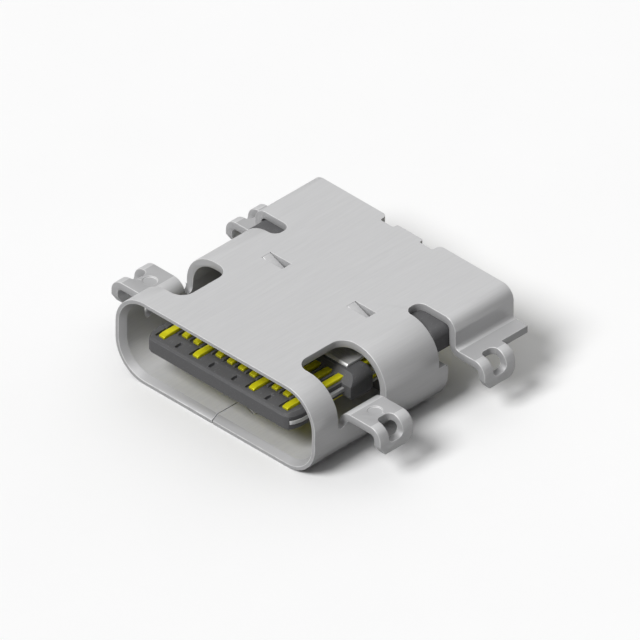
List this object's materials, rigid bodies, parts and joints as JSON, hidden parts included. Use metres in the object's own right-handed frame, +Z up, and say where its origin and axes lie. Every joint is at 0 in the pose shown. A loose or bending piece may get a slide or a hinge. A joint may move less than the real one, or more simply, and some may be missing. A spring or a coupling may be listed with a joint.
{
  "type": "usb-c socket",
  "caption": "Board cut-out socket for a reversible oval plug: folded steel shell with four solder legs, plastic tongue with gold contacts and a plastic block at the rear.",
  "frame": {"origin": "centre of the mouth's front plane", "axes": "+X to the right seen from the front of the mouth, +Y from the mouth to the rear, +Z up, away from the flat bottom"},
  "size_m": [0.012, 0.0096, 0.0032],
  "materials": {
    "shell_steel": "satin",
    "plate_steel": "satin",
    "black_plastic": "fine moulded grain",
    "contact_gold": "polished plating"
  },
  "bodies": {
    "root": {"shell": "shell_steel", "tongue": "black_plastic", "upper_carrier": "black_plastic", "lower_carrier": "black_plastic", "mid_plate": "plate_steel", "upper_ground_plate": "plate_steel", "lower_ground_plate": "plate_steel", "upper_contact_01": "contact_gold", "upper_contact_02": "contact_gold", "upper_contact_03": "contact_gold", "upper_contact_04": "contact_gold", "upper_contact_05": "contact_gold", "upper_contact_06": "contact_gold", "upper_contact_07": "contact_gold", "upper_contact_08": "contact_gold", "upper_contact_09": "contact_gold", "upper_contact_10": "contact_gold", "upper_contact_11": "contact_gold", "upper_contact_12": "contact_gold", "lower_contact_01": "contact_gold", "lower_contact_02": "contact_gold", "lower_contact_03": "contact_gold", "lower_contact_04": "contact_gold", "lower_contact_05": "contact_gold", "lower_contact_06": "contact_gold", "lower_contact_07": "contact_gold", "lower_contact_08": "contact_gold", "lower_contact_09": "contact_gold", "lower_contact_10": "contact_gold", "lower_contact_11": "contact_gold", "lower_contact_12": "contact_gold"}
  },
  "joints": []
}
